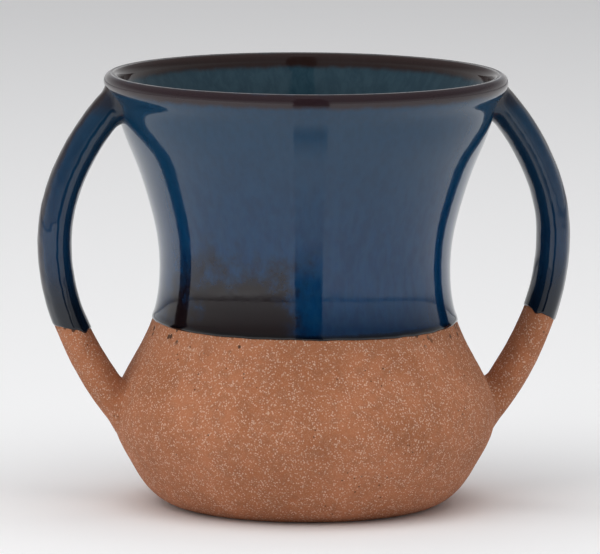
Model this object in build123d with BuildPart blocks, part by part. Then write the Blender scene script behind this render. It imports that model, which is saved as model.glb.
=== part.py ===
from build123d import *
import os

os.makedirs("parts", exist_ok=True)

# ---------------------------------------------------------------------------
# Two-handled stoneware amphora: a wheel-thrown clay body, two pulled handles
# luted on under the lip and at the belly, and the coats of glaze fired on them.
# Frame: origin at the centre of the foot, +Z up, +X through both handles.
# All sizes in millimetres.
# ---------------------------------------------------------------------------

HEIGHT = 155.0            # foot to the crown of the glazed lip
GLAZE = 0.4               # thickness of a fired coat of glaze
GLAZE_LINE_Z = 66.5       # where the dipped coat stops on the body
HANDLE_LINE_Z = 70.0      # where it stops on the handles

# clay profile, outside, foot to lip (radius, height)
FOOT_R = 45.0             # outer edge of the foot ring
FOOT_RECESS_R = 36.0      # trimmed recess inside the foot ring
FOOT_RECESS = 1.5
OUTER = [
    (55.8, 5.8),
    (62.8, 16.2),
    (67.9, 26.9),
    (68.7, 34.0),
    (66.8, 41.6),
    (62.4, 50.4),
    (57.6, 59.4),
    (53.5, 70.0),
    (51.9, 80.8),
    (52.5, 95.2),
    (55.8, 109.6),
    (60.7, 124.0),
    (66.1, 138.0),
    (68.7, 146.0),
]
LIP_C = (69.3, HEIGHT - GLAZE - 2.5)   # centre of the rolled lip
LIP_R = 2.5                            # radius of the rolled lip, clay only

# clay profile, inside, lip to floor
INNER = [
    (63.9, 146.0),
    (60.3, 138.0),
    (54.9, 124.4),
    (50.0, 109.8),
    (46.7, 95.2),
    (46.2, 80.8),
    (47.8, 69.6),
    (51.6, 58.6),
    (56.2, 49.6),
    (60.4, 41.2),
    (62.4, 34.0),
    (61.6, 26.6),
    (57.0, 17.4),
]
FLOOR_R = 44.0            # flat part of the inside floor
FLOOR_Z = 8.0

# handle: oval strap, wide across the vase and slim in the radial direction
HANDLE_T = 11.5           # radial thickness
HANDLE_W = 17.4           # width across
H_TOP = (63.5, 150.2)     # buried in the neck wall under the lip
H_SHOULDER = (86.4, 116.7)
H_OUT = (90.3, 95.2)      # outermost point of the centre line
H_LOW = (85.0, 66.2)
H_END = (65.8, 30.5)      # buried in the belly wall


def moved(before, run, after, by):
    """Points of a profile run, moved square to the wall by a distance."""
    full = [before] + run + [after]
    pts = []
    for i in range(1, len(full) - 1):
        dr = full[i + 1][0] - full[i - 1][0]
        dz = full[i + 1][1] - full[i - 1][1]
        n = (dr * dr + dz * dz) ** 0.5
        pts.append((full[i][0] + by * dz / n, full[i][1] - by * dr / n))
    return pts


LC = LIP_C
LOW = [q for q in OUTER if q[1] < GLAZE_LINE_Z]       # bare clay
HIGH = [q for q in OUTER if q[1] > GLAZE_LINE_Z]      # under the glaze
LINE_PT = (54.6, GLAZE_LINE_Z)                       # clay at the glaze line
LINE_TAN = (-0.33, 1.0)                               # and its slope there
LIP_OUT = (LC[0] + LIP_R, LC[1])
LIP_IN = (LC[0] - LIP_R, LC[1])
HIGH_G = moved(LINE_PT, HIGH, LIP_OUT, GLAZE)
LINE_G = (LINE_PT[0] + GLAZE * 0.95, LINE_PT[1] + GLAZE * 0.31)
INNER_G = moved(LIP_IN, INNER, (FLOOR_R + 6.0, FLOOR_Z + 3.4), GLAZE)
CROWN0 = (LC[0], LC[1] + LIP_R)
CROWN1 = (LC[0], LC[1] + LIP_R + GLAZE)

# ---------------------------------------------------------------------------
# 1. body: thrown clay wall, floor and rolled lip in one piece
# ---------------------------------------------------------------------------
with BuildPart() as body:
    with BuildSketch(Plane.YZ):
        with BuildLine():
            Line((FOOT_R, 0), (FOOT_RECESS_R, 0))
            Line((FOOT_RECESS_R, 0), (FOOT_RECESS_R - 1.5, FOOT_RECESS))
            Line((FOOT_RECESS_R - 1.5, FOOT_RECESS), (0, FOOT_RECESS))
            Line((0, FOOT_RECESS), (0, FLOOR_Z))
            Line((0, FLOOR_Z), (FLOOR_R, FLOOR_Z))
            Spline([(FOOT_R, 0)] + LOW + [LINE_PT], tangents=[(1.0, 0.12), LINE_TAN])
            Spline([LINE_PT] + HIGH + [LIP_OUT], tangents=[LINE_TAN, (0, 1)])
            CenterArc(LC, LIP_R, 0, 90)
            CenterArc(LC, LIP_R, 90, 90)
            Spline([LIP_IN] + INNER + [(FLOOR_R, FLOOR_Z)], tangents=[(0, -1), (-1, 0)])
        make_face()
    revolve(axis=Axis.Z)
body.part.label = "body"

# the space inside the clay's outside surface, used to trim the handles
with BuildPart() as clay_block:
    with BuildSketch(Plane.YZ):
        with BuildLine():
            Line((0, 0), (FOOT_R, 0))
            Spline([(FOOT_R, 0)] + LOW + [LINE_PT], tangents=[(1.0, 0.12), LINE_TAN])
            Spline([LINE_PT] + HIGH + [LIP_OUT], tangents=[LINE_TAN, (0, 1)])
            CenterArc(LC, LIP_R, 0, 90)
            Line(CROWN0, (0, CROWN0[1]))
            Line((0, CROWN0[1]), (0, 0))
        make_face()
    revolve(axis=Axis.Z)

# the space inside the glaze's outside surface, used to trim the handle coats
with BuildPart() as glaze_block:
    with BuildSketch(Plane.YZ):
        with BuildLine():
            Line((0, LINE_G[1]), LINE_G)
            Spline([LINE_G] + HIGH_G + [(LIP_OUT[0] + GLAZE, LC[1])],
                   tangents=[LINE_TAN, (0, 1)])
            CenterArc(LC, LIP_R + GLAZE, 0, 90)
            Line(CROWN1, (0, CROWN1[1]))
            Line((0, CROWN1[1]), (0, LINE_G[1]))
        make_face()
    revolve(axis=Axis.Z)

# ---------------------------------------------------------------------------
# 2-3. handles: pulled oval straps, along tangent arcs, butted on the clay
# ---------------------------------------------------------------------------


def handle_sweep(side, coat):
    """Oval strap along the centre line, or only the coat of glaze round it."""
    with BuildPart() as strap:
        with BuildLine() as path:
            p = [(side * q[0], 0, q[1]) for q in (H_TOP, H_SHOULDER, H_OUT, H_LOW, H_END)]
            up = TangentArc(p[2], p[1], tangent=(0, 0, 1))
            over = TangentArc(p[1], p[0], tangent=up % 1)
            down = TangentArc(p[2], p[3], tangent=(0, 0, -1))
            under_arc = TangentArc(p[3], p[4], tangent=down % 1)
        start = over @ 1
        along = -(over % 1)
        with BuildSketch(Plane(origin=start, x_dir=(0, 1, 0), z_dir=along)):
            Ellipse(HANDLE_W / 2 + coat, HANDLE_T / 2 + coat)
            if coat > 0:
                Ellipse(HANDLE_W / 2, HANDLE_T / 2, mode=Mode.SUBTRACT)
        sweep(path=path.wire())
    return strap.part


strap_l = handle_sweep(-1, 0.0)
strap_r = handle_sweep(1, 0.0)
coat_l = handle_sweep(-1, GLAZE)
coat_r = handle_sweep(1, GLAZE)

with BuildPart() as left_handle:
    add(strap_l)
    add(clay_block.part, mode=Mode.SUBTRACT)
left_handle.part.label = "left_handle"

with BuildPart() as right_handle:
    add(strap_r)
    add(clay_block.part, mode=Mode.SUBTRACT)
right_handle.part.label = "right_handle"

# ---------------------------------------------------------------------------
# 4. outer_glaze: dipped coat on the neck and waist, over the lip to its crown
# ---------------------------------------------------------------------------
with BuildPart() as outer_glaze:
    with BuildSketch(Plane.YZ):
        with BuildLine():
            Spline([LINE_PT] + HIGH + [LIP_OUT], tangents=[LINE_TAN, (0, 1)])
            CenterArc(LC, LIP_R, 0, 90)
            Line(CROWN0, CROWN1)
            CenterArc(LC, LIP_R + GLAZE, 0, 90)
            Spline([LINE_G] + HIGH_G + [(LIP_OUT[0] + GLAZE, LC[1])],
                   tangents=[LINE_TAN, (0, 1)])
            Line(LINE_G, LINE_PT)
        make_face()
    revolve(axis=Axis.Z)
    add(strap_l, mode=Mode.SUBTRACT)
    add(strap_r, mode=Mode.SUBTRACT)
outer_glaze.part.label = "outer_glaze"

# ---------------------------------------------------------------------------
# 5. liner_glaze: poured coat from the crown of the lip down to the floor
# ---------------------------------------------------------------------------
with BuildPart() as liner_glaze:
    with BuildSketch(Plane.YZ):
        with BuildLine():
            Spline([LIP_IN] + INNER + [(FLOOR_R, FLOOR_Z)], tangents=[(0, -1), (-1, 0)])
            Line((FLOOR_R, FLOOR_Z), (0, FLOOR_Z))
            Line((0, FLOOR_Z), (0, FLOOR_Z + GLAZE))
            Line((0, FLOOR_Z + GLAZE), (FLOOR_R, FLOOR_Z + GLAZE))
            Spline([(LIP_IN[0] - GLAZE, LC[1])] + INNER_G + [(FLOOR_R, FLOOR_Z + GLAZE)],
                   tangents=[(0, -1), (-1, 0)])
            CenterArc(LC, LIP_R + GLAZE, 90, 90)
            Line(CROWN0, CROWN1)
            CenterArc(LC, LIP_R, 90, 90)
        make_face()
    revolve(axis=Axis.Z)
liner_glaze.part.label = "liner_glaze"

# ---------------------------------------------------------------------------
# 6-7. handle glazes: the dipped coat round each handle, down to its line
# ---------------------------------------------------------------------------
with BuildPart() as left_handle_glaze:
    add(coat_l)
    add(glaze_block.part, mode=Mode.SUBTRACT)
    with BuildSketch(Plane.XY.offset(HANDLE_LINE_Z)):
        Rectangle(260, 60)
    extrude(amount=100, mode=Mode.INTERSECT)
left_handle_glaze.part.label = "left_handle_glaze"

with BuildPart() as right_handle_glaze:
    add(coat_r)
    add(glaze_block.part, mode=Mode.SUBTRACT)
    with BuildSketch(Plane.XY.offset(HANDLE_LINE_Z)):
        Rectangle(260, 60)
    extrude(amount=100, mode=Mode.INTERSECT)
right_handle_glaze.part.label = "right_handle_glaze"

NODES = [body, left_handle, right_handle, outer_glaze, liner_glaze,
         left_handle_glaze, right_handle_glaze]
for piece in NODES:
    export_step(piece.part, "parts/" + piece.part.label + ".step")
    box = piece.part.bounding_box()
    print(piece.part.label, len(piece.part.solids()), round(piece.part.volume, 1),
          [round(v, 2) for v in (box.min.X, box.min.Y, box.min.Z, box.max.X, box.max.Y, box.max.Z)])
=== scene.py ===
import bpy, math
import numpy as np
from mathutils import Vector, Matrix


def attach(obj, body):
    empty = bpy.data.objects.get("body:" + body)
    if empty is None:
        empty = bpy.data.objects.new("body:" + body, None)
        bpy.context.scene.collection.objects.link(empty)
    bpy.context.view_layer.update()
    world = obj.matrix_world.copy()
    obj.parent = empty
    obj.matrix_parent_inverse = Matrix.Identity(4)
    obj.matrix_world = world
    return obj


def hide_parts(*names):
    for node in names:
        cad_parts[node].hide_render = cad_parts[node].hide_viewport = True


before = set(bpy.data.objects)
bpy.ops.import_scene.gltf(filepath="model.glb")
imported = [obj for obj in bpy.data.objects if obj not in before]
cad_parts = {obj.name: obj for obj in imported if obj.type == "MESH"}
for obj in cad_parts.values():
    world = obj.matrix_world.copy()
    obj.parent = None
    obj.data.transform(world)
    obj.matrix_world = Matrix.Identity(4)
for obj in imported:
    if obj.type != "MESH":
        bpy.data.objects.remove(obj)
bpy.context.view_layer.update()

MM = 0.001
rng = np.random.default_rng(7)

# ------------------------------------------------------------------ profiles
HEIGHT, GLAZE = 155.0, 0.4
FOOT_R, REC_R, REC_D = 45.0, 36.0, 1.5
LINE_Z = 66.5
OUTER = [(45.0, 0.0), (55.8, 5.8), (62.8, 16.2), (67.9, 26.9), (68.7, 34.0),
         (66.8, 41.6), (62.4, 50.4), (57.6, 59.4), (54.6, 66.5), (53.5, 70.0),
         (51.9, 80.8), (52.5, 95.2), (55.8, 109.6), (60.7, 124.0), (66.1, 138.0),
         (68.7, 146.0), (71.8, 152.1)]
INNER = [(66.8, 152.1), (63.9, 146.0), (60.3, 138.0), (54.9, 124.4), (50.0, 109.8),
         (46.7, 95.2), (46.2, 80.8), (47.8, 69.6), (51.6, 58.6), (56.2, 49.6),
         (60.4, 41.2), (62.4, 34.0), (61.6, 26.6), (57.0, 17.4), (44.0, 8.0)]
LIP_C, LIP_R = (69.3, 152.1), 2.5


def cubic(pts, t0=None, t1=None, n=400):
    """Interpolating cubic through points, by chord length, ends clamped or free."""
    P = np.array(pts, float)
    u = np.r_[0, np.cumsum(np.linalg.norm(np.diff(P, axis=0), axis=1))]
    m = len(P)
    h = np.diff(u)
    A = np.zeros((m, m)); B = np.zeros((m, P.shape[1]))
    for i in range(1, m - 1):
        A[i, i - 1] = h[i]; A[i, i] = 2 * (h[i - 1] + h[i]); A[i, i + 1] = h[i - 1]
        B[i] = 3 * (h[i] * (P[i] - P[i - 1]) / h[i - 1] + h[i - 1] * (P[i + 1] - P[i]) / h[i])
    for k, t, s in ((0, t0, 0), (m - 1, t1, m - 2)):
        if t is not None:
            A[k, k] = 1; B[k] = np.array(t, float) / np.linalg.norm(t)
        elif k == 0:
            A[0, 0] = 2; A[0, 1] = 1; B[0] = 3 * (P[1] - P[0]) / h[0]
        else:
            A[k, k] = 2; A[k, k - 1] = 1; B[k] = 3 * (P[k] - P[k - 1]) / h[-1]
    D = np.linalg.solve(A, B)
    x = np.linspace(0, u[-1], n)
    i = np.clip(np.searchsorted(u, x, side="right") - 1, 0, m - 2)
    s = ((x - u[i]) / h[i])[:, None]; hh = h[i][:, None]
    return ((2*s**3 - 3*s**2 + 1) * P[i] + (s**3 - 2*s**2 + s) * hh * D[i]
            + (-2*s**3 + 3*s**2) * P[i + 1] + (s**3 - s**2) * hh * D[i + 1])


def arc(c, r, a0, a1, n):
    a = np.radians(np.linspace(a0, a1, n))
    return np.c_[c[0] + r * np.cos(a), c[1] + r * np.sin(a)]


def resample(P, n):
    u = np.r_[0, np.cumsum(np.linalg.norm(np.diff(P, axis=0), axis=1))]
    x = np.linspace(0, u[-1], n)
    return np.c_[[np.interp(x, u, P[:, k]) for k in range(P.shape[1])]].T


def normals(P):
    d = np.gradient(P, axis=0)
    d /= np.maximum(np.linalg.norm(d, axis=1), 1e-9)[:, None]
    return np.c_[d[:, 1], -d[:, 0]]


WALL = cubic(OUTER, (1.0, 0.12), (0, 1), 700)              # foot to lip, outside
LIN = cubic(INNER, (0, -1), (-1, 0), 700)                  # lip to floor, inside
wz, wr = WALL[:, 1], WALL[:, 0]


def wall_r(z):
    return np.interp(z, wz, wr)


def value_noise(x, y, z, seed, octaves=3):
    """Smooth repeatable noise, about -1 to 1."""
    out = 0.0; amp = 1.0; tot = 0.0
    g = np.random.default_rng(seed)
    for o in range(octaves):
        v = g.normal(size=(6, 3)); ph = g.uniform(0, 6.28, 6)
        acc = 0
        for k in range(6):
            acc = acc + np.sin(v[k, 0]*x*2**o + v[k, 1]*y*2**o + v[k, 2]*z*2**o + ph[k])
        out = out + amp * acc / 3.5; tot += amp; amp *= 0.5
    return out / tot


def mesh(name, verts, faces, attrs=None):
    me = bpy.data.meshes.new(name)
    me.from_pydata((np.asarray(verts) * MM).tolist(), [], [tuple(map(int, f)) for f in faces])
    me.validate(); me.update()
    for k, v in (attrs or {}).items():
        a = me.attributes.new(k, "FLOAT", "POINT")
        a.data.foreach_set("value", np.asarray(v, dtype=np.float32))
    me.polygons.foreach_set("use_smooth", [True] * len(me.polygons))
    ob = bpy.data.objects.new(name, me)
    bpy.context.scene.collection.objects.link(ob)
    return ob


def grid_faces(rows, cols, wrap_rows):
    """Quads of a rows by cols grid that wraps round its columns."""
    f = []
    R = rows if wrap_rows else rows - 1
    for i in range(R):
        a = i * cols; b = ((i + 1) % rows) * cols
        for j in range(cols):
            k = (j + 1) % cols
            f.append((a + j, a + k, b + k, b + j))
    return f


NA = 320
TH = np.linspace(0, 2 * np.pi, NA, endpoint=False)


def wobble(th, z):
    """Hand-thrown unevenness, always inward: soft rings and a slight out-of-round."""
    fade = np.clip(z / 6.0, 0, 1)
    o = 0.10 * (1 + np.sin(2 * th + 0.7 + z * 0.01)) * 0.5
    r = 0.012 * (1 + np.sin(z * 0.9 + 1.3 * np.sin(th + z * 0.05))) * 0.5
    n = 0.06 * (1 + value_noise(np.cos(th) * 4, np.sin(th) * 4, z * 0.08, 3)) * 0.5
    return -(o + r + n) * fade


def revolve_rings(P, off):
    """Rings for a closed profile P moved inwards by off(th, z) on its outside."""
    V = []
    for (r, z) in P:
        rr = r + off(TH, np.full(NA, z)) if r > 30 else np.full(NA, r)
        V.append(np.c_[rr * np.cos(TH), rr * np.sin(TH), np.full(NA, z)])
    return V


# ------------------------------------------------------------------ clay body
out_p = resample(WALL, 190)
lip_p = arc(LIP_C, LIP_R, 0, 180, 14)[1:-1]
in_p = resample(LIN, 70)
body_prof = np.vstack([[(0.02, REC_D)], [(20, REC_D)], [(REC_R - 2.2, REC_D)],
                       [(REC_R - 1.3, 1.2)], [(REC_R - 0.4, 0.15)], [(REC_R + 0.5, 0.0)],
                       [(40.5, 0.0)], [(43.6, 0.0)], out_p[1:], lip_p, in_p,
                       [(22, 8.0)], [(0.02, 8.0)]])
V = []
for idx, (r, z) in enumerate(body_prof):
    rr = np.full(NA, r)
    if 8 <= idx < 8 + len(out_p) - 1:
        rr = r + wobble(TH, np.full(NA, z))
        # small sheared grog drags, bare clay only
        bare = np.clip((LINE_Z - z) / 6, 0, 1)
        rr = rr - 0.05 * bare * (1 + value_noise(np.cos(TH)*60, np.sin(TH)*60, z*1.0, 11, 2))
    V.append(np.c_[rr * np.cos(TH), rr * np.sin(TH), np.full(NA, z)])
n = len(V)
V = np.vstack(V)
F = grid_faces(n, NA, False)
c0 = len(V); V = np.vstack([V, [[0, 0, REC_D], [0, 0, 8.0]]])
for j in range(NA):
    k = (j + 1) % NA
    F.append((c0, k, j)); F.append((c0 + 1, (n-1)*NA + j, (n-1)*NA + k))
body = mesh("clay_body", V, F)

# ------------------------------------------------------------- glaze on body
def glaze_line(th):
    """Height of the glaze's edge round the vase, in mm."""
    x, y = np.cos(th), np.sin(th)
    return (LINE_Z + 0.55 * np.sin(th - 0.4) + 0.35 * value_noise(x*3, y*3, 0*x, 21)
            + 0.16 * value_noise(x*22, y*22, 0*x, 22, 2))


full_out = np.vstack([WALL, arc(LIP_C, LIP_R, 0, 90, 30)[1:]])
fu = np.r_[0, np.cumsum(np.linalg.norm(np.diff(full_out, axis=0), axis=1))]
fn = normals(full_out)
line_u = np.interp(glaze_line(TH), full_out[:, 1][:700], fu[:700])
ROWS = 150
outer_rows = []; inner_rows = []
for i in range(ROWS):
    s = i / (ROWS - 1)
    s = s ** 1.25                                   # finer rows at the edge
    u = line_u + s * (fu[-1] - line_u)
    r = np.interp(u, fu, full_out[:, 0]); z = np.interp(u, fu, full_out[:, 1])
    nr = np.interp(u, fu, fn[:, 0]); nz = np.interp(u, fu, fn[:, 1])
    w = wobble(TH, z) * np.clip((151 - z) / 6, 0, 1)
    d = (u - line_u)
    edge = np.sqrt(np.clip(1 - (1 - np.clip(d / 0.7, 0, 1)) ** 2, 0, 1))
    roll = 0.12 * np.exp(-((d - 1.3) / 1.1) ** 2)   # the rolled bead at the edge
    t = -0.12 + (GLAZE + 0.12) * edge + roll * edge
    t = np.minimum(t, GLAZE + 0.12)
    if i == ROWS - 1:
        t = np.full(NA, GLAZE)
    top = np.clip((z - 152.0) / 3, 0, 1)
    t = t * (1 - top) + np.minimum(t, GLAZE) * top
    outer_rows.append(np.c_[(r + w + nr * t) * np.cos(TH), (r + w + nr * t) * np.sin(TH), np.minimum(z + nz * t, HEIGHT)])
    q = -0.25
    inner_rows.append(np.c_[(r + w + nr * q) * np.cos(TH), (r + w + nr * q) * np.sin(TH), z + nz * q])
R = outer_rows + inner_rows[::-1]
glaze_outer = mesh("glaze_outer", np.vstack(R), grid_faces(len(R), NA, True))

full_in = np.vstack([arc(LIP_C, LIP_R, 90, 180, 30)[:-1], LIN, [(20, 8.0)], [(0.05, 8.0)]])
ip = resample(full_in, 150)
inn = normals(ip)
A, B = [], []
for i, (r, z) in enumerate(ip):
    a, b = inn[i] * GLAZE, inn[i] * -0.25
    ring = 0.05 * math.sin(z * 0.75) if 12 < z < 146 else 0.0     # throwing rings inside
    zt = min(z + a[1], HEIGHT)
    rr = max(r + a[0] + ring, 0.02)
    A.append(np.c_[rr * np.cos(TH), rr * np.sin(TH), np.full(NA, zt)])
    rb = max(r + b[0], 0.01)
    B.append(np.c_[rb * np.cos(TH), rb * np.sin(TH), np.full(NA, z + b[1])])
liner = mesh("glaze_liner", np.vstack(A + B[::-1]), grid_faces(2 * len(A), NA, True))

# ----------------------------------------------------------------- handles
H = [(63.5, 150.2), (86.4, 116.7), (90.3, 95.2), (85.0, 66.2), (65.8, 30.5)]


def tangent_arc(p, q, t, n):
    """Points of the arc from p to q that leaves p along t."""
    p, q, t = map(lambda a: np.array(a, float), (p, q, t)); t /= np.linalg.norm(t)
    nrm = np.array([-t[1], t[0]]); d = q - p
    k = 2 * (d @ nrm) / (d @ d)                     # curvature
    ang = 2 * math.atan2(d @ nrm, d @ t)
    s = np.linspace(0, ang / k, n)
    return p + np.outer(np.sin(k*s)/k, t) + np.outer((1 - np.cos(k*s))/k, nrm), \
        t * math.cos(ang) + nrm * math.sin(ang)


def centre_line(low, end):
    """Handle centre line from the wall under the lip to inside the belly wall."""
    up, tu = tangent_arc(H[2], H[1], (0, 1), 60)
    ov, _ = tangent_arc(H[1], H[0], tu, 90)
    dn, td = tangent_arc(H[2], low, (0, -1), 70)
    un, te = tangent_arc(low, end, td, 90)
    te = te / np.linalg.norm(te)
    more = un[-1] + np.outer(np.linspace(0.3, 3.5, 10), te)
    p = np.vstack([ov[::-1], up[::-1][1:], dn[1:], un[1:], more])
    p = p[p[:, 1] < 147.2]
    c = resample(p, 190)
    d = np.gradient(c, axis=0)
    return c, d / np.linalg.norm(d, axis=1)[:, None]


CEN, CT = centre_line(H[3], H[4])
NS, NC = len(CEN), 56
PH = np.linspace(0, 2 * np.pi, NC, endpoint=False)


def handle_surface(side, grow, seed):
    """Swept oval with a pulled, slightly uneven section and flared roots."""
    CEN, CT = centre_line(H[3], (65.2, 32.0)) if side > 0 else centre_line((84.4, 66.2), (63.6, 32.5))
    G = np.zeros((NS, NC, 3)); ridge = np.zeros((NS, NC))
    for i in range(NS):
        nrm = np.array([-CT[i][1], CT[i][0]])        # outward from the vase
        s = i / (NS - 1)
        uneven = -0.12 * (1 + math.sin(9 * s + seed)) * 0.5
        k_ = min(max((s - 0.60) / 0.30, 0), 1); k_ = k_ * k_ * (3 - 2 * k_)
        a, b = 11.5 / 2 + uneven + 0.75 * k_, 17.4 / 2 + uneven + 0.5 * k_
        # pulled strap: a soft crown outside and two faint finger grooves
        co, si = np.cos(PH), np.sin(PH)
        groove = -0.22 * np.exp(-((np.abs(si) - 0.55) / 0.16) ** 2) * np.clip(co, 0, 1)
        ra = (a + groove + grow) * co; rb = (b + grow) * si
        c = CEN[i][:, None] + nrm[:, None] * ra[None, :]
        # flare towards the wall
        rad = np.sqrt(c[0] ** 2 + rb ** 2)
        d = (rad - wall_r(c[1])) * 0.88
        reach = 3.4 if CEN[i][1] > 95 else 2.6
        f = np.clip(1 - d / reach, 0, 1.15) ** 2 * reach * 0.42
        outw = np.where(co < 0, 1.0, 0.55)
        ra = ra + f * co * outw; rb = rb + f * si
        c = CEN[i][:, None] + nrm[:, None] * ra[None, :]
        bump = 0.07 * value_noise(c[0]*0.5, rb*0.5, c[1]*0.35, seed + 5, 2) - 0.07
        G[i, :, 0] = side * (c[0] + bump * co * nrm[0]); G[i, :, 1] = rb * (1 + bump / 9)
        G[i, :, 2] = c[1] + bump * co * nrm[1]
        ridge[i] = np.clip(co, 0, 1) ** 2
    # what lies in the clay stays in the clay, and out of the lip
    rad = np.hypot(G[..., 0], G[..., 1])
    deep = wall_r(G[..., 2]) - 2.4
    k = np.where(rad < deep, deep / np.maximum(rad, 1e-6), 1.0)
    G[..., 0] *= k; G[..., 1] *= k
    G[..., 2] = np.minimum(G[..., 2], 151.4)
    # keep inside the frame
    G[..., 0] = np.clip(G[..., 0], -96.4, 96.4)
    return G, ridge


def flip(faces, side):
    return [tuple(reversed(f)) for f in faces] if side < 0 else faces


def handle_pieces(side, tag, seed):
    G, ridge = handle_surface(side, 0.0, seed)
    V = G.reshape(-1, 3); F = grid_faces(NS, NC, False)
    c0 = len(V)
    V = np.vstack([V, G[0].mean(0), G[-1].mean(0)])
    for j in range(NC):
        k = (j + 1) % NC
        F.append((c0, k, j)); F.append((c0 + 1, (NS-1)*NC + j, (NS-1)*NC + k))
    clay = mesh("clay_handle_" + tag, V, flip(F, side), {"ridge": np.r_[ridge.ravel(), 0, 0]})
    GO, _ = handle_surface(side, GLAZE, seed)
    GI, _ = handle_surface(side, -0.2, seed)
    # glaze edge: last position along the path for each place round the section
    lineh = 65.2 + 0.5 * np.sin(PH + seed) + 0.5 * value_noise(np.cos(PH)*2.5, np.sin(PH)*2.5, 0*PH, seed+9)
    drip = 1.2 * np.exp(-((np.mod(PH - 4.2 + math.pi, 2*math.pi) - math.pi) / 0.22) ** 2)
    if side > 0:
        lineh = lineh + 2.2 - 2.3 * np.cos(PH)       # the right one slopes down outwards
    lineh = lineh - drip
    M = 150
    O = np.zeros((M, NC, 3)); I = np.zeros((M, NC, 3)); RD = np.zeros((M, NC))
    for j in range(NC):
        z = GO[:, j, 2]
        order = np.arange(NS)
        end = np.interp(-lineh[j], -z[NS // 4:], order[NS // 4:].astype(float))
        x = end * (1 - (1 - np.linspace(0, 1, M)) ** 1.2)
        for k in range(3):
            o = np.interp(x, order, GO[:, j, k]); q = np.interp(x, order, G[:, j, k])
            i_ = np.interp(x, order, GI[:, j, k])
            step = np.linalg.norm(CEN[1] - CEN[0])
            e = np.sqrt(np.clip(1 - (1 - np.clip((end - x) * step / 0.8, 0, 1)) ** 2, 0, 1))
            O[:, j, k] = (q * 1.0 + (o - q) * (e * 1.1 - 0.1))
            I[:, j, k] = i_
        RD[:, j] = np.interp(x, order, ridge[:, j])
    allv = np.vstack([O.reshape(-1, 3), I[::-1].reshape(-1, 3)])
    F = grid_faces(2 * M, NC, True)
    coat = mesh("glaze_handle_" + tag, allv, flip(F, side),
                {"ridge": np.r_[RD.ravel(), RD[::-1].ravel()]})
    return clay, coat


clay_l, coat_l = handle_pieces(-1, "left", 1)
clay_r, coat_r = handle_pieces(1, "right", 4)

# --------------------------------------------------------------- materials
class Nodes:
    def __init__(self, name):
        self.m = bpy.data.materials.new(name); self.m.use_nodes = True
        self.t = self.m.node_tree; self.b = self.t.nodes["Principled BSDF"]
        tc = self.t.nodes.new("ShaderNodeTexCoord"); self.co = tc.outputs["Object"]
        sp = self.t.nodes.new("ShaderNodeSeparateXYZ"); self.link(self.co, sp.inputs[0])
        self.x, self.y, self.z = sp.outputs

    def link(self, a, b):
        self.t.links.new(a, b)

    def put(self, sock, v):
        if hasattr(v, "is_output") or isinstance(v, bpy.types.NodeSocket):
            self.link(v, sock)
        else:
            sock.default_value = v

    def mapped(self, s):
        n = self.t.nodes.new("ShaderNodeMapping"); n.inputs["Scale"].default_value = s
        self.link(self.co, n.inputs["Vector"]); return n.outputs[0]

    def noise(self, scale, detail=3, rough=0.55, vec=None, dist=0.0):
        n = self.t.nodes.new("ShaderNodeTexNoise")
        n.inputs["Scale"].default_value = scale; n.inputs["Detail"].default_value = detail
        n.inputs["Roughness"].default_value = rough; n.inputs["Distortion"].default_value = dist
        self.link(vec or self.co, n.inputs["Vector"]); return n.outputs["Fac"]

    def voronoi(self, scale, vec=None, feature="F1"):
        n = self.t.nodes.new("ShaderNodeTexVoronoi"); n.feature = feature
        n.inputs["Scale"].default_value = scale
        self.link(vec or self.co, n.inputs["Vector"]); return n.outputs["Distance"]

    def rng(self, v, a, b, c=0.0, d=1.0, smooth=True):
        n = self.t.nodes.new("ShaderNodeMapRange"); n.interpolation_type = "SMOOTHSTEP" if smooth else "LINEAR"
        self.put(n.inputs["Value"], v)
        for k, x in zip(("From Min", "From Max", "To Min", "To Max"), (a, b, c, d)):
            n.inputs[k].default_value = x
        return n.outputs["Result"]

    def math(self, op, a, b=0.0):
        n = self.t.nodes.new("ShaderNodeMath"); n.operation = op
        self.put(n.inputs[0], a); self.put(n.inputs[1], b); return n.outputs[0]

    def mix(self, f, a, b):
        n = self.t.nodes.new("ShaderNodeMix"); n.data_type = "RGBA"
        self.put(n.inputs[0], f)
        for s, v in ((n.inputs[6], a), (n.inputs[7], b)):
            if isinstance(v, tuple):
                s.default_value = (*v, 1)
            else:
                self.link(v, s)
        return n.outputs[2]

    def bump(self, h, strength, dist):
        n = self.t.nodes.new("ShaderNodeBump"); n.inputs["Strength"].default_value = strength
        n.inputs["Distance"].default_value = dist; self.link(h, n.inputs["Height"])
        if getattr(self, "last", None):
            self.link(self.last, n.inputs["Normal"])
        self.last = n.outputs[0]; return self.last

    def attr(self, name):
        n = self.t.nodes.new("ShaderNodeAttribute"); n.attribute_name = name; return n.outputs["Fac"]


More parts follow.
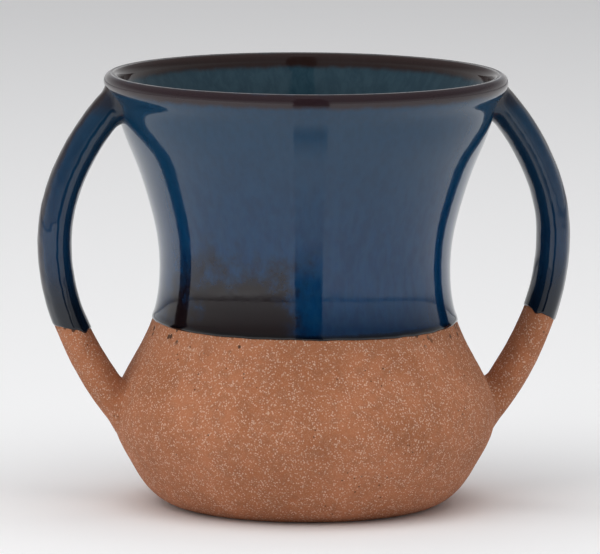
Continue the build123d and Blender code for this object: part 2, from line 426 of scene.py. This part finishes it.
def clay_material():
    g = Nodes("clay")
    base = g.mix(g.rng(g.noise(38, 4), 0.35, 0.68), (0.360, 0.128, 0.055), (0.460, 0.172, 0.080))
    base = g.mix(g.rng(g.noise(210, 4, 0.7), 0.44, 0.66, 0, 0.42), base, (0.27, 0.105, 0.052))
    fleck = g.math("MULTIPLY", g.rng(g.voronoi(1250), 0.44, 0.26), g.rng(g.noise(520, 2), 0.42, 0.52))
    base = g.mix(g.math("MULTIPLY", fleck, 0.62), base, (0.80, 0.58, 0.45))
    fine = g.rng(g.noise(2300, 2, 0.7), 0.52, 0.66, 0, 0.40)
    base = g.mix(fine, base, (0.60, 0.38, 0.25))
    pit = g.math("MULTIPLY", g.rng(g.voronoi(330), 0.13, 0.07), g.rng(g.noise(60, 2), 0.53, 0.60))
    base = g.mix(g.math("MULTIPLY", pit, 0.9), base, (0.045, 0.022, 0.015))
    rim = g.math("MULTIPLY", g.rng(g.z, 0.0605, 0.0635), g.rng(g.voronoi(330, g.mapped((1, 1, 0.8))), 0.34, 0.24))
    rim = g.math("MULTIPLY", rim, g.rng(g.noise(34, 2), 0.50, 0.56))
    base = g.mix(g.math("MULTIPLY", rim, 0.92), base, (0.018, 0.010, 0.009))
    scuff = g.rng(g.noise(1, 4, 0.6, g.mapped((30, 30, 190)), 0.6), 0.66, 0.78, 0, 0.30)
    base = g.mix(scuff, base, (0.66, 0.47, 0.34))
    # warmer, darker flash just under the glaze
    flash = g.rng(g.math("ADD", g.z, g.math("MULTIPLY", g.noise(90, 2), 0.004)), 0.062, 0.0675, 0, 0.18)
    base = g.mix(flash, base, (0.27, 0.125, 0.066))
    g.link(base, g.b.inputs["Base Color"])
    g.link(g.rng(g.noise(600, 3), 0.3, 0.7, 0.72, 0.92), g.b.inputs["Roughness"])
    g.b.inputs["Specular IOR Level"].default_value = 0.3
    g.bump(g.noise(1500, 4, 0.7), 0.55, 0.00035)
    g.bump(g.math("SUBTRACT", fleck, pit), 0.6, 0.0003)
    g.link(g.last, g.b.inputs["Normal"])
    return g.m


def glaze_material(kind):
    g = Nodes("glaze_" + kind)
    streak = g.noise(1, 5, 0.62, g.mapped((330, 330, 85)), 0.4)
    cell = g.voronoi(1, g.mapped((520, 520, 330)), "SMOOTH_F1")
    cloud = g.noise(26, 4, 0.6)
    if kind == "liner":
        hi, lo, deep = (0.022, 0.052, 0.072), (0.015, 0.040, 0.058), (0.002, 0.010, 0.020)
        base = g.mix(g.rng(streak, 0.35, 0.66), lo, hi)
        # painted shade: the inside glaze fades to the near-black deep colour from 135 mm down to 70 mm, shade
        # painted in deeper inside the vase
        base = g.mix(g.rng(g.z, 0.135, 0.07), base, deep)
    else:
        hi, lo = (0.003, 0.040, 0.112), (0.001, 0.027, 0.086)
        base = g.mix(g.rng(streak, 0.36, 0.66), lo, hi)
        topz = g.rng(g.math("ADD", g.z, g.math("MULTIPLY", cloud, 0.02)), 0.095, 0.162)
        base = g.mix(g.math("MULTIPLY", topz, 0.75), base, (0.008, 0.042, 0.082))
        base = g.mix(g.rng(cell, 0.30, 0.62, 0, 0.30), base, (0.008, 0.048, 0.106))
        low = g.rng(g.math("ADD", g.z, g.math("MULTIPLY", cloud, 0.014)), 0.092, 0.070)
        base = g.mix(g.math("MULTIPLY", low, 0.75), base, (0.0004, 0.006, 0.022))
        if kind == "body":
            # a brown-black cloud low on the left of the front
            n = g.math("MULTIPLY", g.math("SUBTRACT", g.noise(62, 5, 0.68), 0.5), 0.060)
            zz = g.rng(g.math("ADD", g.z, n), 0.099, 0.080)
            xx = g.math("MULTIPLY", g.rng(g.math("ADD", g.x, n), -0.060, -0.044),
                        g.rng(g.math("ADD", g.x, n), -0.003, -0.020))
            yy = g.rng(g.y, 0.0, -0.012)
            patch = g.math("MULTIPLY", g.math("MULTIPLY", zz, xx), yy)
            base = g.mix(g.math("MULTIPLY", patch, 0.95), base, (0.0085, 0.0035, 0.0018))
            edge = g.rng(g.math("ADD", g.z, g.math("MULTIPLY", g.noise(240, 2), 0.0010)), 0.0692, 0.0674)
            base = g.mix(g.math("MULTIPLY", edge, 0.9), base, (0.001, 0.001, 0.0015))
    # brown where it runs thin over the lip
    lipn = g.math("ADD", g.z, g.math("MULTIPLY", g.noise(160, 4, 0.65), 0.0022))
    lip = g.math("MULTIPLY", g.rng(lipn, 0.1500, 0.1522), g.rng(lipn, 0.1574, 0.1556))
    base = g.mix(g.math("MULTIPLY", lip, 0.85), base, (0.026, 0.0080, 0.0030))
    if kind == "handle":
        thin = g.math("MULTIPLY", g.rng(g.math("ADD", g.attr("ridge"), g.math("MULTIPLY", g.noise(120, 4, 0.65), 0.5)), 0.86, 1.16),
                      g.rng(g.z, 0.070, 0.082))
        base = g.mix(g.math("MULTIPLY", thin, 0.85), base, (0.032, 0.014, 0.008))
        lowh = g.rng(g.math("ADD", g.z, g.math("MULTIPLY", g.noise(90, 3), 0.010)), 0.100, 0.074)
        base = g.mix(g.math("MULTIPLY", lowh, 0.88), base, (0.002, 0.003, 0.006))
        base = g.mix(0.35, base, (0.003, 0.008, 0.016))
        root = g.rng(g.math("ADD", g.z, g.math("MULTIPLY", g.noise(200, 3), 0.004)), 0.1425, 0.1475)
        base = g.mix(g.math("MULTIPLY", root, 0.6), base, (0.018, 0.009, 0.006))
    g.link(base, g.b.inputs["Base Color"])
    g.link(g.rng(g.noise(320, 3, 0.6), 0.35, 0.72, 0.045, 0.11), g.b.inputs["Roughness"])
    g.b.inputs["IOR"].default_value = 1.52
    g.bump(g.noise(420, 3, 0.6), 0.05, 0.0002)
    g.bump(g.noise(75, 3, 0.5), 0.07, 0.0006)
    g.link(g.last, g.b.inputs["Normal"])
    return g.m


CLAY = clay_material()
G_BODY, G_LINER, G_HANDLE = (glaze_material(k) for k in ("body", "liner", "handle"))
for ob, mat, slot, node in (
        (body, CLAY, "clay", "body"), (clay_l, CLAY, "clay", "left_handle"),
        (clay_r, CLAY, "clay", "right_handle"), (glaze_outer, G_BODY, "glaze", "outer_glaze"),
        (liner, G_LINER, "liner", "liner_glaze"), (coat_l, G_HANDLE, "glaze", "left_handle_glaze"),
        (coat_r, G_HANDLE, "glaze", "right_handle_glaze")):
    ob.data.materials.append(mat)
    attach(ob, "root"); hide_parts(node)

# ------------------------------------------------------- floor, light, camera
fme = bpy.data.meshes.new("floor")
s = 12.0
fme.from_pydata([(-s, -s, 0), (s, -s, 0), (s, s, 0), (-s, s, 0)], [], [(0, 1, 2, 3)])
floor = bpy.data.objects.new("floor", fme); bpy.context.scene.collection.objects.link(floor)
fm = bpy.data.materials.new("floor"); fm.use_nodes = True
fb = fm.node_tree.nodes["Principled BSDF"]
fb.inputs["Base Color"].default_value = (0.93, 0.93, 0.93, 1); fb.inputs["Roughness"].default_value = 0.9
fb.inputs["Specular IOR Level"].default_value = 0.1
fme.materials.append(fm)

w = bpy.data.worlds.new("studio"); bpy.context.scene.world = w; w.use_nodes = True
bg = w.node_tree.nodes["Background"]
bg.inputs["Strength"].default_value = 0.95
wt = w.node_tree
wc = wt.nodes.new("ShaderNodeTexCoord"); ws = wt.nodes.new("ShaderNodeSeparateXYZ")
wr_ = wt.nodes.new("ShaderNodeMapRange"); wm = wt.nodes.new("ShaderNodeMix"); wm.data_type = "RGBA"
wt.links.new(wc.outputs["Generated"], ws.inputs[0]); wt.links.new(ws.outputs[2], wr_.inputs["Value"])
for k_, v_ in (("From Min", -0.22), ("From Max", 0.36), ("To Min", 0.0), ("To Max", 1.0)):
    wr_.inputs[k_].default_value = v_
wt.links.new(wr_.outputs["Result"], wm.inputs[0])
wm.inputs[6].default_value = (1, 1, 1, 1); wm.inputs[7].default_value = (0.22, 0.22, 0.23, 1)
wt.links.new(wm.outputs[2], bg.inputs["Color"])

YAW = math.radians(9.0); ELEV = math.radians(7.7); DIST = 2.864
right = Vector((math.cos(YAW), -math.sin(YAW), 0))
tocam = Vector((-math.sin(YAW) * math.cos(ELEV), -math.cos(YAW) * math.cos(ELEV), math.sin(ELEV)))
target = right * (-4.8 * 0.358 * MM) + Vector((0, 0, 0.0815))
cd = bpy.data.cameras.new("camera"); cam = bpy.data.objects.new("camera", cd)
bpy.context.scene.collection.objects.link(cam); bpy.context.scene.camera = cam
cd.sensor_width = 36; cd.lens = 480; cd.clip_end = 100
cam.location = target + tocam * DIST
rot = tocam.to_track_quat("Z", "Y").to_matrix().to_4x4() @ Matrix.Rotation(math.radians(0.345), 4, "Z")
cam.rotation_euler = rot.to_euler()


def card(name, az, width, dist, height, z, colour):
    """A dark upright card round the camera: it only shows as a reflection."""
    d = Vector((math.sin(az), -math.cos(az), 0)); r = Vector((math.cos(az), math.sin(az), 0))
    c = d * dist
    me = bpy.data.meshes.new(name)
    me.from_pydata([tuple(c - r*width/2 + Vector((0, 0, z))), tuple(c + r*width/2 + Vector((0, 0, z))),
                    tuple(c + r*width/2 + Vector((0, 0, z + height))), tuple(c - r*width/2 + Vector((0, 0, z + height)))],
                   [], [(0, 1, 2, 3)])
    ob = bpy.data.objects.new(name, me); bpy.context.scene.collection.objects.link(ob)
    m = bpy.data.materials.new(name); m.use_nodes = True
    m.node_tree.nodes["Principled BSDF"].inputs["Base Color"].default_value = (*colour, 1)
    m.node_tree.nodes["Principled BSDF"].inputs["Roughness"].default_value = 1.0
    me.materials.append(m); ob.visible_camera = False; ob.visible_shadow = False
    return ob


card("gap_card", -YAW + math.radians(3.0), 1.15, 3.2, 6.0, 0.0, (0.004, 0.004, 0.004))


def gap_floor():
    az = -YAW + math.radians(3.0)
    d = Vector((math.sin(az), -math.cos(az), 0)); r = Vector((math.cos(az), math.sin(az), 0))
    a, b, zz = 0.10, 3.3, 0.0012
    t = math.tan(math.radians(10))
    me = bpy.data.meshes.new("gap_floor")
    me.from_pydata([tuple(d*a - r*a*t + Vector((0, 0, zz))), tuple(d*a + r*a*t + Vector((0, 0, zz))),
                    tuple(d*b + r*b*t + Vector((0, 0, zz))), tuple(d*b - r*b*t + Vector((0, 0, zz)))],
                   [], [(0, 1, 2, 3)])
    ob = bpy.data.objects.new("gap_floor", me); bpy.context.scene.collection.objects.link(ob)
    m = bpy.data.materials.new("gap_floor"); m.use_nodes = True
    nt = m.node_tree; co = nt.nodes.new("ShaderNodeTexCoord")
    ln = nt.nodes.new("ShaderNodeVectorMath"); ln.operation = "LENGTH"
    rp = nt.nodes.new("ShaderNodeValToRGB"); e = rp.color_ramp.elements
    e[0].position, e[0].color = 0.16, (0.88, 0.88, 0.88, 1)
    e[1].position, e[1].color = 0.50, (0.02, 0.02, 0.02, 1)
    mid = e.new(0.28); mid.color = (0.42, 0.42, 0.42, 1)
    nt.links.new(co.outputs["Object"], ln.inputs[0]); nt.links.new(ln.outputs["Value"], rp.inputs["Fac"])
    nt.links.new(rp.outputs["Color"], nt.nodes["Principled BSDF"].inputs["Base Color"])
    nt.nodes["Principled BSDF"].inputs["Roughness"].default_value = 1.0
    me.materials.append(m)
    ob.visible_camera = ob.visible_diffuse = ob.visible_shadow = False


gap_floor()


def area(name, az, elev, dist, size, power):
    l = bpy.data.lights.new(name, "AREA"); l.shape = "RECTANGLE"; l.size = size[0]; l.size_y = size[1]
    l.energy = power
    o = bpy.data.objects.new(name, l); bpy.context.scene.collection.objects.link(o)
    a, e = math.radians(az), math.radians(elev)
    d = Vector((math.sin(a) * math.cos(e), -math.cos(a) * math.cos(e), math.sin(e)))
    o.location = d * dist + Vector((0, 0, 0.08))
    o.rotation_euler = d.to_track_quat("Z", "Y").to_euler()
    o.visible_glossy = False
    return o


area("soft_left", -62, 28, 1.8, (1.4, 1.8), 9)
area("soft_right", 58, 22, 1.8, (1.2, 1.6), 4)
area("overhead", -20, 82, 2.4, (3.5, 3.5), 64)
bpy.context.scene.view_settings.view_transform = "Standard"
